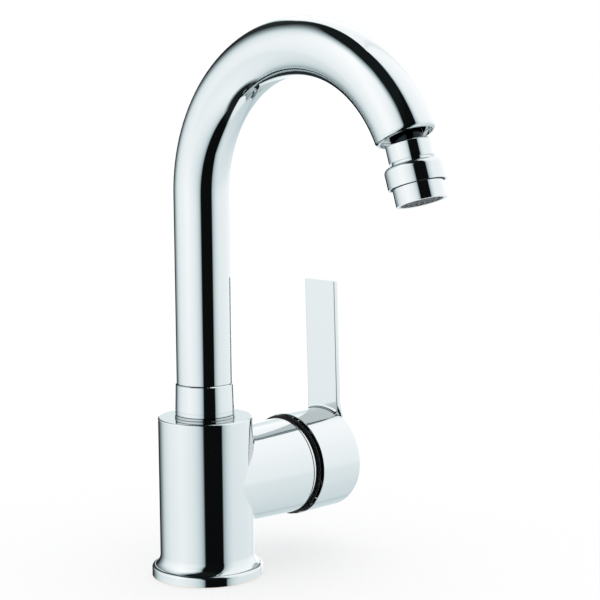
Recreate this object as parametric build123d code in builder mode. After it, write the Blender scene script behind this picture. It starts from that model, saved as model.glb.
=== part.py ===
from build123d import *
import os
from math import asin, cos, degrees, radians, sin, sqrt

# Basin mixer tap with a swivelling gooseneck spout and a side lever. Sizes are in millimetres.
# The origin is the centre of the foot's underside, Z is up, the spout reaches towards -Y
# and the lever's axis runs along +X.

# Body: foot, barrel and side housing
foot_radius = 27.8
foot_height = 5.2
foot_edge = 1.6
foot_ledge = 1.7
flare_radius = 7.0
body_radius = 23.6
body_height = 79.8
body_edge = 0.7
lever_axis_height = 46.1
housing_root_radius = 23.2
housing_mouth_radius = 24.8
junction_fillet = 3.0

# Fixing and water ways in the body
stud_radius = 3.4
stud_depth = 12.0
inlet_radius = 4.5
inlet_spacing = 21.0
water_floor = 14.0
water_height = 40.0
water_radius = 18.5
water_flat = 15.0
web_thickness = 8.4
riser_radius = 3.0
riser_offset = 8.0
gasket_inner = 20.5
gasket_outer = 24.5
gasket_thickness = 2.0

# Spout socket, nipple and its seals
socket_radius = 10.5
socket_depth = 21.8
nipple_bore = 7.0
nipple_end_gap = 0.7
ring_section = 1.05
ring_heights = (3.8, 8.4)
ring_groove_width = 2.5
ring_groove_radius = 8.3
lock_height = 13.8
lock_tip_radius = 1.8
lock_body_radius = 2.5
lock_tip_length = 1.5
lock_recess = 0.6
lock_groove_radius = 8.7
spout_swing = 60.0

# Cartridge, stacked outwards along the lever's axis from the chamber floor
chamber_floor = 19.0
chamber_radius = 17.8
cartridge_radius = 17.5
base_thickness = 5.0
seal_width = 1.2
seal_thickness = 1.6
inlet_port_radius = 2.6
inlet_port_side = 7.0
inlet_port_rise = 3.5
outlet_port_radius = 3.0
outlet_port_drop = 6.4
fixed_disc_radius = 15.5
fixed_disc_thickness = 3.5
moving_disc_radius = 12.5
moving_disc_thickness = 3.5
mixing_recess_length = 19.0
mixing_recess_width = 9.0
mixing_recess_depth = 1.8
mixing_recess_drop = 5.0
carrier_thickness = 5.0
carrier_width = 21.0
rotor_flange = 5.0
rotor_neck_radius = 10.92
rotor_neck_length = 8.1
slot_half_height = 8.2
rail_thickness = 2.8
rail_height = 16.0
shell_wall = 1.3
shell_end_wall = 2.0
shell_neck_radius = 13.4
shell_neck_length = 4.0
nut_thickness = 4.5
nut_bore_radius = 20.6
nut_notch = 4.0
nut_notch_depth = 3.2

# Lever stem and its pivot
pivot_setback = 3.0
tip_arm = 9.0
tip_radius = 2.9
tip_neck_radius = 2.4
stem_block_width = 8.0
stem_block_height = 9.0
stem_block_length = 9.0
stem_square = 7.8
stem_length = 36.7
pin_radius = 1.5
pin_length = 19.4
lever_lift = 25.0

# Rim ring and dome ring at the mouth of the housing
rim_spigot_length = 3.4
rim_spigot_wall = 1.6
rim_floor = 0.8
rim_width = 3.4
rim_radius = 24.5
rim_bevel = 0.35
dome_seat_radius = 22.0
dome_foot_wall = 1.7
dome_wall = 1.5
dome_opening_angle = 40.0
dome_gap = 0.8

# Lever handle
cap_gap = 2.4
cap_clearance = 2.54
cap_wall = 1.8
cap_mouth_wall = 0.6
cap_mouth_depth = 3.0
cap_length = 29.5
cap_edge = 4.0
cap_lip = 0.2
plate_width = 21.4
plate_thickness = 3.6
plate_top = 141.0
plate_lean = 1.75
plate_flare = 24.0
plate_round = 1.5
plate_edge = 0.5
root_cove = 1.6
root_sink = 0.3
root_end_gap = 0.4
flare_setback = 2.2
boss_radius = 9.0
boss_gap = 0.6
socket_end_gap = 0.5
grub_radius = 2.4
grub_length = 5.0
grub_key_radius = 1.2
grub_key_depth = 2.0
grub_offset = 4.7
plug_radius = 2.7

# Spout: bearing ring, collar and bent tube
bearing_step = 0.2
bearing_height = 1.2
bearing_edge = 0.3
collar_step = 0.85
collar_top_step = 0.5
collar_height = 15.8
collar_bore = 11.5
collar_groove_width = 0.35
collar_groove_depth = 0.35
collar_groove_rise = 2.2
collar_edge = 0.4
tube_edge = 0.35
tube_radius = 14.0
tube_wall = 2.0
tube_end_round = 1.8
tube_straight = 93.9
bend_radius = 70.7
bend_angle = 154.8
outlet_tilt = 17.5
nipple_reach = 7.5

# Swivel outlet, measured from the spout's end along the outlet's axis
bush_recess = 2.4
bush_thickness = 6.0
bush_flange = 1.2
bush_radius = 10.3
bush_flange_gap = 0.3
shank_radius = 7.3
shank_length = 5.5
neck_radius = 10.2
neck_drop = 2.4
neck_length = 7.7
neck_edge = 0.4
ball_radius = 10.0
ball_drop = 6.0
ball_cut = 6.0
ball_neck_radius = 9.0
outlet_bore = 5.5
ring_radius = 13.2
ring_wall = 1.5
ring_length = 9.6
ring_rise = 4.5
ring_lip = 0.9
ring_lip_radius = 10.3
ring_shoulder = 2.6
seat_rise = 3.5
seat_drop = 0.4
seal_drop = 3.0
sleeve_radius = 11.4
sleeve_length = 7.9
sleeve_spigot = 1.9
sleeve_wall = 0.9
sleeve_lip = 0.6
sleeve_lip_height = 0.6
insert_height = 3.4
insert_rim = 1.2
insert_plate = 1.6
insert_hole_radius = 0.62
insert_hole_margin = 0.2
insert_hole_rings = 5
washer_height = 1.4
washer_width = 3.0

# Clearances
running = 0.08
seat_gap = 0.02
slip = 0.1
loose = 0.3

# Places that follow from the sizes above
foot_shoulder = foot_radius - foot_ledge
flare_top = foot_height + sqrt(flare_radius**2 - (flare_radius - foot_shoulder + body_radius) ** 2)
socket_floor = body_height - socket_depth
base_top = chamber_floor + base_thickness
fixed_disc_top = base_top + fixed_disc_thickness
moving_disc_start = fixed_disc_top + seat_gap
moving_disc_top = moving_disc_start + moving_disc_thickness
carrier_top = moving_disc_top + carrier_thickness
rotor_start = carrier_top + loose
rotor_shoulder = rotor_start + rotor_flange
shell_end = rotor_shoulder + running
shell_shoulder = shell_end + shell_end_wall
nut_top = shell_shoulder + nut_thickness
housing_mouth = nut_top + loose + rim_spigot_length
rim_end = housing_mouth + rim_width
pivot = rotor_shoulder + pivot_setback
tip_place = pivot - tip_arm
disc_travel = tip_arm * sin(radians(lever_lift))
disc_rest = -disc_travel / 2
shell_bore = cartridge_radius - shell_wall
rotor_radius = shell_bore - running
stem_end = pivot + stem_length

# The rim ring's outer corner, the dome and the cap's skirt keep their distances from the pivot
# at every tilt, so each radius is worked out from the one inside it.
cap_start = rim_end + cap_gap
rim_corner = sqrt((rim_end - pivot) ** 2 + (rim_radius - rim_bevel) ** 2)
skirt_reach = rim_corner + cap_clearance
cap_mouth_radius = sqrt(skirt_reach**2 - (cap_start - pivot) ** 2)
cap_radius = cap_mouth_radius + cap_mouth_wall
skirt_radius = cap_radius - cap_wall
cap_end = cap_start + cap_length
cap_floor = cap_end - plate_thickness
dome_radius = skirt_reach - dome_gap
boss_start = pivot + dome_radius + boss_gap

collar_radius = tube_radius + collar_step
bearing_radius = collar_radius + bearing_step
collar_start = body_height + bearing_height + seat_gap
collar_end = collar_start + collar_height
bend_start = collar_end + tube_straight
tube_bore = tube_radius - tube_wall
end_y = -bend_radius * (1 - cos(radians(bend_angle)))
end_z = bend_start + bend_radius * sin(radians(bend_angle))
tube_end_y = -sin(radians(bend_angle))
tube_end_z = cos(radians(bend_angle))
outlet_y = -sin(radians(outlet_tilt))
outlet_z = -cos(radians(outlet_tilt))
neck_end = neck_drop + neck_length
ball_place = neck_end + ball_drop
ring_start = ball_place - ring_rise
ring_end = ring_start + ring_length
ring_bore = ring_radius - ring_wall
sleeve_end = ring_end + sleeve_length
sleeve_bore = sleeve_radius - sleeve_wall
insert_start = sleeve_end - sleeve_lip_height - insert_height
nipple_radius = socket_radius - running
insert_radius = sleeve_bore - slip
insert_plate_radius = insert_radius - insert_rim
insert_hole_reach = insert_plate_radius - insert_hole_radius - insert_hole_margin
insert_hole_pitch = insert_hole_reach / insert_hole_rings

# Planes and axes that several pieces share
lever_plane = Plane(origin=(0, 0, lever_axis_height), x_dir=(1, 0, 0), z_dir=(0, -1, 0))
lever_axis = Axis((0, 0, lever_axis_height), (1, 0, 0))
outlet_plane = Plane(origin=(0, end_y, end_z), x_dir=(0, outlet_y, outlet_z), z_dir=(1, 0, 0))
outlet_axis = Axis((0, end_y, end_z), (0, outlet_y, outlet_z))
inlet_ports = ((-inlet_port_side, inlet_port_rise), (inlet_port_side, inlet_port_rise))
outlet_port = (0, -outlet_port_drop)


def lever_station(along):
    """The plane square to the lever's axis, at this distance from the barrel's centre."""
    return Plane(origin=(along, 0, lever_axis_height), x_dir=(0, 1, 0), z_dir=(1, 0, 0))


def outlet_station(along):
    """The plane square to the outlet's axis, at this distance below the spout's end."""
    centre = (0, end_y + along * outlet_y, end_z + along * outlet_z)
    return Plane(origin=centre, x_dir=(1, 0, 0), z_dir=(0, outlet_y, outlet_z))


def tube_station(along):
    """The plane square to the spout's tube, at this distance past its end."""
    centre = (0, end_y + along * tube_end_y, end_z + along * tube_end_z)
    return Plane(origin=centre, x_dir=(1, 0, 0), z_dir=(0, tube_end_y, tube_end_z))


def ball_width(height, radius):
    """The radius of a ball's section at this height over its centre."""
    return sqrt(radius**2 - height**2)


def save(piece, label):
    """Labels a finished piece and writes its file."""
    piece.part.label = label
    export_step(piece.part, "parts/" + label + ".step")


os.makedirs("parts", exist_ok=True)

# Body casting: one brass casting with the foot, the barrel and the side housing.
with BuildPart() as body_casting:
    with BuildSketch(Plane.XZ):
        with BuildLine():
            Polyline((0, 0), (foot_radius, 0), (foot_radius, foot_height), (foot_shoulder, foot_height))
            RadiusArc((foot_shoulder, foot_height), (body_radius, flare_top), flare_radius)
            Polyline((body_radius, flare_top), (body_radius, body_height), (0, body_height), (0, 0))
        make_face()
    revolve(axis=Axis.Z)
    fillet(edges().filter_by(GeomType.CIRCLE).sort_by(Axis.Z)[-1], body_edge)
    foot_rim = edges().filter_by(GeomType.CIRCLE).sort_by(SortBy.RADIUS)[-2:]
    fillet(foot_rim.sort_by(Axis.Z)[-1], foot_edge)
    with BuildSketch(lever_plane):
        with BuildLine():
            Polyline(
                (0, 0),
                (0, housing_root_radius),
                (housing_mouth, housing_mouth_radius),
                (housing_mouth, 0),
                (0, 0),
            )
        make_face()
    revolve(axis=lever_axis)
    junction = edges().filter_by(lambda edge: edge.geom_type not in (GeomType.CIRCLE, GeomType.LINE))
    fillet(junction, junction_fillet)
    # Cartridge chamber and the wider bore for its nut
    with BuildSketch(lever_station(chamber_floor)):
        Circle(chamber_radius)
    extrude(amount=housing_mouth - chamber_floor, mode=Mode.SUBTRACT)
    with BuildSketch(lever_station(shell_shoulder - loose)):
        Circle(nut_bore_radius)
    extrude(amount=housing_mouth - shell_shoulder + loose, mode=Mode.SUBTRACT)
    # Spout socket in the top
    with BuildSketch(Plane.XY.offset(socket_floor)):
        Circle(socket_radius)
    extrude(amount=socket_depth, mode=Mode.SUBTRACT)
    # Hot and cold water spaces, one on each side of the web
    with BuildSketch(Plane.XY.offset(water_floor)):
        Circle(water_radius)
        Rectangle(2 * water_radius, web_thickness, mode=Mode.SUBTRACT)
        with Locations((water_flat, 0)):
            Rectangle(
                water_radius,
                2 * water_radius,
                align=(Align.MIN, Align.CENTER),
                mode=Mode.SUBTRACT,
            )
    extrude(amount=water_height, mode=Mode.SUBTRACT)
    # Threaded inlets and stud hole in the foot
    with BuildSketch(Plane.XY):
        with GridLocations(0, inlet_spacing, 1, 2):
            Circle(inlet_radius)
    extrude(amount=water_floor, mode=Mode.SUBTRACT)
    with BuildSketch(Plane.XY):
        Circle(stud_radius)
    extrude(amount=stud_depth, mode=Mode.SUBTRACT)
    # Ports from the water spaces, and the way from the outlet port up to the socket
    with BuildSketch(lever_station(water_flat)):
        with Locations(*inlet_ports):
            Circle(inlet_port_radius)
    extrude(amount=chamber_floor - water_flat, mode=Mode.SUBTRACT)
    with BuildSketch(lever_station(riser_offset)):
        with Locations(outlet_port):
            Circle(outlet_port_radius)
    extrude(amount=chamber_floor - riser_offset, mode=Mode.SUBTRACT)
    with BuildSketch(Plane.XY.offset(lever_axis_height - outlet_port_drop)):
        with Locations((riser_offset, 0)):
            Circle(riser_radius)
    extrude(amount=socket_floor - lever_axis_height + outlet_port_drop, mode=Mode.SUBTRACT)
    # Groove for the base gasket
    with BuildSketch(Plane.XY):
        Circle(gasket_outer + slip)
        Circle(gasket_inner - slip, mode=Mode.SUBTRACT)
    extrude(amount=gasket_thickness, mode=Mode.SUBTRACT)
    # Threaded hole for the lock screw at the back
    with BuildSketch(Plane(origin=(0, 0, socket_floor + lock_height), z_dir=(0, 1, 0))):
        Circle(lock_body_radius + slip)
    extrude(amount=foot_radius, mode=Mode.SUBTRACT)
save(body_casting, "body_casting")

# Base gasket: a flat rubber ring in the foot's groove, level with the underside.
with BuildPart() as base_gasket:
    with BuildSketch(Plane.XY):
        Circle(gasket_outer)
        Circle(gasket_inner, mode=Mode.SUBTRACT)
    extrude(amount=gasket_thickness)
save(base_gasket, "base_gasket")

# Cartridge base: moulded disc with three ports and a seal pocket round each.
with BuildPart() as cartridge_base:
    with BuildSketch(lever_station(chamber_floor)):
        Circle(cartridge_radius)
    extrude(amount=base_thickness)
    with BuildSketch(lever_station(chamber_floor)):
        with Locations(*inlet_ports):
            Circle(inlet_port_radius)
        with Locations(outlet_port):
            Circle(outlet_port_radius)
    extrude(amount=base_thickness, mode=Mode.SUBTRACT)
    with BuildSketch(lever_station(chamber_floor)):
        with Locations(*inlet_ports):
            Circle(inlet_port_radius + seal_width + slip)
        with Locations(outlet_port):
            Circle(outlet_port_radius + seal_width + slip)
    extrude(amount=seal_thickness, mode=Mode.SUBTRACT)
save(cartridge_base, "cartridge_base")

# Cartridge seals: three rubber rings between the base and the chamber floor.
with BuildPart() as cartridge_seals:
    with BuildSketch(lever_station(chamber_floor)):
        with Locations(*inlet_ports):
            Circle(inlet_port_radius + seal_width)
            Circle(inlet_port_radius, mode=Mode.SUBTRACT)
        with Locations(outlet_port):
            Circle(outlet_port_radius + seal_width)
            Circle(outlet_port_radius, mode=Mode.SUBTRACT)
    extrude(amount=seal_thickness)
save(cartridge_seals, "cartridge_seals")

# Fixed disc: ceramic plate with the same three ports.
with BuildPart() as fixed_disc:
    with BuildSketch(lever_station(base_top)):
        Circle(fixed_disc_radius)
        with Locations(*inlet_ports):
            Circle(inlet_port_radius, mode=Mode.SUBTRACT)
        with Locations(outlet_port):
            Circle(outlet_port_radius, mode=Mode.SUBTRACT)
    extrude(amount=fixed_disc_thickness)
save(fixed_disc, "fixed_disc")

# Moving disc: ceramic plate with a blind mixing recess on its lapped face.
with BuildPart() as moving_disc:
    with BuildSketch(lever_station(moving_disc_start)):
        with Locations((0, disc_rest)):
            Circle(moving_disc_radius)
    extrude(amount=moving_disc_thickness)
    with BuildSketch(lever_station(moving_disc_start)):
        with Locations((0, -mixing_recess_drop)):
            SlotOverall(mixing_recess_length, mixing_recess_width)
    extrude(amount=mixing_recess_depth, mode=Mode.SUBTRACT)
save(moving_disc, "moving_disc")

# Disc carrier: grips the moving disc, slides between the rotor's rails and takes the stem's tip.
with BuildPart() as disc_carrier:
    with BuildSketch(lever_station(moving_disc_top)):
        with Locations((0, disc_rest)):
            Circle(moving_disc_radius)
            Rectangle(carrier_width, 2 * moving_disc_radius, mode=Mode.INTERSECT)
    extrude(amount=carrier_thickness)
    with BuildSketch(lever_station(tip_place - tip_radius - loose)):
        Rectangle(2 * tip_radius + 2 * loose, 2 * tip_radius + 2 * slip)
    extrude(amount=2 * carrier_thickness, mode=Mode.SUBTRACT)
save(disc_carrier, "disc_carrier")

# Cartridge rotor: turns in the shell, guides the carrier and holds the stem's pin.
with BuildPart() as cartridge_rotor:
    with BuildSketch(lever_station(rotor_start)):
        Circle(rotor_radius)
    extrude(amount=rotor_flange)
    with BuildSketch(lever_station(rotor_shoulder)):
        Circle(rotor_neck_radius)
    extrude(amount=rotor_neck_length)
    with BuildSketch(lever_station(rotor_start)):
        Rectangle(carrier_width + 2 * slip + 2 * rail_thickness, rail_height)
        Rectangle(carrier_width + 2 * slip, rail_height, mode=Mode.SUBTRACT)
    extrude(amount=moving_disc_top + loose - rotor_start)
    with BuildSketch(lever_station(rotor_start)):
        Rectangle(stem_block_width + 2 * slip, 2 * slot_half_height)
    extrude(amount=rotor_flange + rotor_neck_length, mode=Mode.SUBTRACT)
    with BuildSketch(Plane(origin=(pivot, 0, lever_axis_height), z_dir=(0, 1, 0))):
        Circle(pin_radius + seat_gap)
    extrude(amount=rotor_radius, both=True, mode=Mode.SUBTRACT)
save(cartridge_rotor, "cartridge_rotor")

# Cartridge housing: the shell over the discs and the rotor.
with BuildPart() as cartridge_housing:
    with BuildSketch(lever_station(base_top)):
        Circle(cartridge_radius)
    extrude(amount=shell_shoulder - base_top)
    with BuildSketch(lever_station(shell_shoulder)):
        Circle(shell_neck_radius)
    extrude(amount=shell_neck_length)
    with BuildSketch(lever_station(base_top)):
        Circle(shell_bore)
    extrude(amount=shell_end - base_top, mode=Mode.SUBTRACT)
    with BuildSketch(lever_station(shell_end)):
        Circle(rotor_neck_radius + running)
    extrude(amount=shell_end_wall + shell_neck_length, mode=Mode.SUBTRACT)
save(cartridge_housing, "cartridge_housing")

# Cartridge nut: threaded brass ring with four spanner notches.
with BuildPart() as cartridge_nut:
    with BuildSketch(lever_station(shell_shoulder)):
        Circle(nut_bore_radius - slip)
        Circle(shell_neck_radius + slip, mode=Mode.SUBTRACT)
    extrude(amount=nut_thickness)
    with BuildSketch(lever_station(nut_top)):
        with PolarLocations(nut_bore_radius, 4):
            Rectangle(2 * nut_notch_depth, nut_notch)
    extrude(amount=-nut_notch_depth, mode=Mode.SUBTRACT)
save(cartridge_nut, "cartridge_nut")

# Stem pin: steel cross pin that the stem tilts on.
with BuildPart() as stem_pin:
    with BuildSketch(Plane(origin=(pivot, 0, lever_axis_height), z_dir=(0, 1, 0))):
        Circle(pin_radius)
    extrude(amount=pin_length / 2, both=True)
save(stem_pin, "stem_pin")

# Cartridge stem: ball tip in the carrier, block on the pin and a square end in the handle.
with BuildPart() as cartridge_stem:
    with Locations((tip_place, 0, lever_axis_height)):
        Sphere(tip_radius)
    with BuildSketch(lever_station(tip_place)):
        Circle(tip_neck_radius)
    extrude(amount=tip_arm)
    with BuildSketch(lever_station(pivot - stem_block_length / 2)):
        Rectangle(stem_block_width, stem_block_height)
    extrude(amount=stem_block_length)
    with BuildSketch(lever_station(pivot)):
        Rectangle(stem_square, stem_square)
    extrude(amount=stem_length)
    with BuildSketch(Plane(origin=(pivot, 0, lever_axis_height), z_dir=(0, 1, 0))):
        Circle(pin_radius + running)
    extrude(amount=stem_block_width, both=True, mode=Mode.SUBTRACT)
save(cartridge_stem, "cartridge_stem")

# Rim ring: chromed ring pressed into the housing's mouth, which clamps the dome ring.
with BuildPart() as rim_ring:
    with BuildSketch(lever_plane):
        with BuildLine():
            Polyline(
                (housing_mouth - rim_spigot_length, nut_bore_radius - slip - rim_spigot_wall),
                (housing_mouth - rim_spigot_length, nut_bore_radius - slip),
                (housing_mouth, nut_bore_radius - slip),
                (housing_mouth, rim_radius),
                (rim_end - 2 * rim_bevel, rim_radius),
                (rim_end, rim_radius - rim_bevel),
                (rim_end, dome_seat_radius),
                (housing_mouth + rim_floor, dome_seat_radius),
                (housing_mouth + rim_floor, nut_bore_radius - slip - rim_spigot_wall),
                (housing_mouth - rim_spigot_length, nut_bore_radius - slip - rim_spigot_wall),
            )
        make_face()
    revolve(axis=lever_axis)
save(rim_ring, "rim_ring")

# Dome ring: black moulded ring with a ball-shaped face, centred on the stem's pivot.
dome_foot_radius = dome_seat_radius - slip
dome_inner_radius = dome_radius - dome_wall
dome_foot_bore = dome_foot_radius - dome_foot_wall
dome_out = (
    pivot + dome_radius * cos(radians(dome_opening_angle)),
    dome_radius * sin(radians(dome_opening_angle)),
)
dome_in = (
    pivot + dome_inner_radius * cos(radians(dome_opening_angle)),
    dome_inner_radius * sin(radians(dome_opening_angle)),
)
with BuildPart() as dome_ring:
    with BuildSketch(lever_plane):
        with BuildLine():
            Polyline(
                (pivot + ball_width(dome_foot_bore, dome_inner_radius), dome_foot_bore),
                (housing_mouth + rim_floor, dome_foot_bore),
                (housing_mouth + rim_floor, dome_foot_radius),
                (rim_end, dome_foot_radius),
                (rim_end, ball_width(rim_end - pivot, dome_radius)),
            )
            RadiusArc((rim_end, ball_width(rim_end - pivot, dome_radius)), dome_out, dome_radius)
            Line(dome_out, dome_in)
            RadiusArc(
                dome_in,
                (pivot + ball_width(dome_foot_bore, dome_inner_radius), dome_foot_bore),
                -dome_inner_radius,
            )
        make_face()
    revolve(axis=lever_axis)
save(dome_ring, "dome_ring")

# Lever handle: a round cap with an upright plate that flares out of its end wall.
flare_end_radius = cap_radius - flare_setback
flare_centre = plate_width / 2 + plate_flare
flare_height = sqrt((flare_end_radius + plate_flare) ** 2 - flare_centre**2)
flare_share = flare_end_radius / (flare_end_radius + plate_flare)
flare_foot = (flare_centre * flare_share, flare_height * flare_share)
plate_height = plate_top - lever_axis_height
plate_half = plate_width / 2
plate_foot = ball_width(plate_half, cap_radius)
grip_start = lever_axis_height + cap_radius
grub_place = boss_start + grub_offset
cove_half_angle = degrees(asin((plate_half - root_end_gap) / (cap_radius + root_cove)))


def outer_outline(edge):
    """True for the outer face's edges, apart from its foot and the line where the lean starts."""
    place = edge.center()
    crossing = abs(place.Y) < plate_round and place.Z < plate_top - plate_round
    return place.Z > lever_axis_height + flare_end_radius / 2 and not crossing


def inner_outline(edge):
    """True for the long edges of the inner face, above the cap."""
    place = edge.center()
    return place.X < cap_floor and abs(place.Y) > plate_half - plate_edge and place.Z > grip_start


with BuildPart() as lever_handle:
    # Foot of the plate: straight inner edges, and sides that flare towards the outer face
    with BuildSketch(lever_station(cap_floor)):
        with BuildLine():
            Polyline((-plate_half, flare_height), (-plate_half, plate_foot), (0, 0))
            Polyline((0, 0), (plate_half, plate_foot), (plate_half, flare_height))
            Line((plate_half, flare_height), (-plate_half, flare_height))
        make_face()
    with BuildSketch(lever_station(cap_end)):
        with BuildLine():
            RadiusArc((-plate_half, flare_height), (-flare_foot[0], flare_foot[1]), plate_flare)
            Polyline((-flare_foot[0], flare_foot[1]), (0, 0), flare_foot)
            RadiusArc(flare_foot, (plate_half, flare_height), plate_flare)
            Line((plate_half, flare_height), (-plate_half, flare_height))
        make_face()
    loft(ruled=True)
    # The plate above it, cut by its side view, which leans in towards the top
    with BuildSketch(lever_station(cap_floor - plate_lean)):
        with Locations((0, plate_foot)):
            Rectangle(plate_width, plate_height - plate_foot, align=(Align.CENTER, Align.MIN))
    extrude(amount=plate_lean + plate_thickness)
    with BuildSketch(lever_plane):
        with BuildLine():
            Polyline(
                (cap_floor, 0),
                (cap_floor, cap_radius),
                (cap_floor - plate_lean, plate_height),
                (cap_end - plate_lean, plate_height),
                (cap_end, cap_radius),
                (cap_end, 0),
                (cap_floor, 0),
            )
        make_face()
    extrude(amount=cap_radius, both=True, mode=Mode.INTERSECT)
    outer_faces = faces().filter_by(lambda face: face.normal_at().X > cos(radians(lever_lift)))
    fillet(outer_faces.edges().filter_by(outer_outline), plate_round)
    fillet(edges().filter_by(inner_outline), plate_edge)
    # Cap
    with BuildSketch(lever_plane):
        with BuildLine():
            Polyline(
                (cap_start, cap_mouth_radius),
                (cap_start, cap_radius - cap_lip),
                (cap_start + cap_lip, cap_radius),
                (cap_end - cap_edge, cap_radius),
            )
            RadiusArc((cap_end - cap_edge, cap_radius), (cap_end, cap_radius - cap_edge), cap_edge)
            Polyline(
                (cap_end, cap_radius - cap_edge),
                (cap_end, 0),
                (cap_floor, 0),
                (cap_floor, skirt_radius),
                (cap_start + cap_mouth_depth, skirt_radius),
                (cap_start, cap_mouth_radius),
            )
        make_face()
    revolve(axis=lever_axis)
    # Cove between the plate's inner face and the cap
    with BuildSketch(
        Plane(
            origin=(0, 0, lever_axis_height),
            x_dir=(1, 0, 0),
            z_dir=(0, -cos(radians(cove_half_angle)), sin(radians(cove_half_angle))),
        )
    ):
        with BuildLine():
            RadiusArc((cap_floor, cap_radius + root_cove), (cap_floor - root_cove, cap_radius), root_cove)
            Polyline(
                (cap_floor - root_cove, cap_radius),
                (cap_floor - root_cove, cap_radius - root_sink),
                (cap_floor + root_sink, cap_radius - root_sink),
                (cap_floor + root_sink, cap_radius + root_cove),
                (cap_floor, cap_radius + root_cove),
            )
        make_face()
    revolve(axis=lever_axis, revolution_arc=2 * cove_half_angle)
    # Boss with the square socket for the stem
    with BuildSketch(lever_station(boss_start)):
        Circle(boss_radius)
    extrude(amount=cap_floor - boss_start)
    with BuildSketch(lever_station(boss_start)):
        Rectangle(stem_square + 2 * slip, stem_square + 2 * slip)
    extrude(amount=stem_end + socket_end_gap - boss_start, mode=Mode.SUBTRACT)
    # Grub screw hole in the boss, and the wider hole for its plug in the cap's wall below
    with BuildSketch(Plane(origin=(grub_place, 0, lever_axis_height), z_dir=(0, 0, -1))):
        Circle(grub_radius + slip)
    extrude(amount=boss_radius + slip, mode=Mode.SUBTRACT)
    with BuildSketch(
        Plane(origin=(grub_place, 0, lever_axis_height - boss_radius - slip), z_dir=(0, 0, -1))
    ):
        Circle(plug_radius)
    extrude(amount=cap_radius, mode=Mode.SUBTRACT)
save(lever_handle, "lever_handle")

# Grub screw: fixes the handle on the stem.
with BuildPart() as grub_screw:
    with BuildSketch(
        Plane(origin=(grub_place, 0, lever_axis_height - stem_square / 2), z_dir=(0, 0, -1))
    ):
        Circle(grub_radius)
    extrude(amount=grub_length)
    with BuildSketch(
        Plane(
            origin=(grub_place, 0, lever_axis_height - stem_square / 2 - grub_length),
            z_dir=(0, 0, 1),
        )
    ):
        RegularPolygon(grub_key_radius, 6)
    extrude(amount=grub_key_depth, mode=Mode.SUBTRACT)
save(grub_screw, "grub_screw")

# Screw plug: closes the grub screw's hole under the cap.
with BuildPart() as screw_plug:
    with BuildSketch(Plane(origin=(grub_place, 0, lever_axis_height - skirt_radius), z_dir=(0, 0, -1))):
        Circle(plug_radius - slip)
    extrude(amount=cap_wall - 2 * slip)
save(screw_plug, "screw_plug")

# Spout bearing ring: low-friction ring between the body and the collar.
with BuildPart() as spout_bearing_ring:
    with BuildSketch(Plane.XY.offset(body_height)):
        Circle(bearing_radius)
    extrude(amount=bearing_height)
    fillet(edges().filter_by(GeomType.CIRCLE).sort_by(Axis.Z)[0], bearing_edge)
    with BuildSketch(Plane.XY.offset(body_height)):
        Circle(socket_radius)
    extrude(amount=bearing_height, mode=Mode.SUBTRACT)
save(spout_bearing_ring, "spout_bearing_ring")

# Spout collar: turned sleeve on the nipple, with a fine groove above its foot.
groove_place = collar_start + collar_groove_rise
with BuildPart() as spout_collar:
    with BuildSketch(Plane.XZ):
        with BuildLine():
            Polyline(
                (collar_bore, collar_start),
                (collar_radius - collar_edge, collar_start),
                (collar_radius, collar_start + collar_edge),
                (collar_radius, groove_place),
                (collar_radius - collar_groove_depth, groove_place),
                (collar_radius - collar_groove_depth, groove_place + collar_groove_width),
                (collar_radius, groove_place + collar_groove_width),
                (tube_radius + collar_top_step, collar_end - collar_edge),
                (tube_radius + collar_top_step - collar_edge, collar_end),
                (collar_bore, collar_end),
                (collar_bore, collar_start),
            )
        make_face()
    revolve(axis=Axis.Z)
save(spout_collar, "spout_collar")

# Spout nipple: the tube's lower end, which turns in the body's socket.
lock_groove_half = spout_swing + degrees(asin((lock_tip_radius + slip) / lock_groove_radius))
with BuildPart() as spout_nipple:
    with BuildSketch(Plane.XY.offset(socket_floor + nipple_end_gap)):
        Circle(nipple_radius)
    extrude(amount=collar_start - socket_floor - nipple_end_gap)
    with BuildSketch(Plane.XY.offset(collar_start)):
        Circle(collar_bore - seat_gap)
    extrude(amount=collar_height)
    with BuildSketch(Plane.XY.offset(collar_end)):
        Circle(tube_bore - seat_gap)
    extrude(amount=nipple_reach)
    with BuildSketch(Plane.XY.offset(socket_floor)):
        Circle(nipple_bore)
    extrude(amount=collar_end + nipple_reach - socket_floor, mode=Mode.SUBTRACT)
    for ring_height in ring_heights:
        with BuildSketch(Plane.XY.offset(socket_floor + ring_height - ring_groove_width / 2)):
            Circle(socket_radius)
            Circle(ring_groove_radius, mode=Mode.SUBTRACT)
        extrude(amount=ring_groove_width, mode=Mode.SUBTRACT)
    # Part-round groove in which the lock screw's tip runs
    groove_turn = Plane.XZ.rotated((0, 0, 90 - lock_groove_half))
    with BuildSketch(groove_turn):
        with Locations((lock_groove_radius, socket_floor + lock_height)):
            Rectangle(
                socket_radius - lock_groove_radius + slip,
                2 * lock_tip_radius + 2 * slip,
                align=(Align.MIN, Align.CENTER),
            )
    revolve(axis=Axis.Z, revolution_arc=2 * lock_groove_half, mode=Mode.SUBTRACT)
save(spout_nipple, "spout_nipple")

# Spout O-rings: two rubber rings in the nipple's grooves.
with BuildPart() as spout_o_rings:
    for ring_height in ring_heights:
        with Locations((0, 0, socket_floor + ring_height)):
            Torus(ring_groove_radius + seat_gap + ring_section, ring_section)
save(spout_o_rings, "spout_o_rings")

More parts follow.
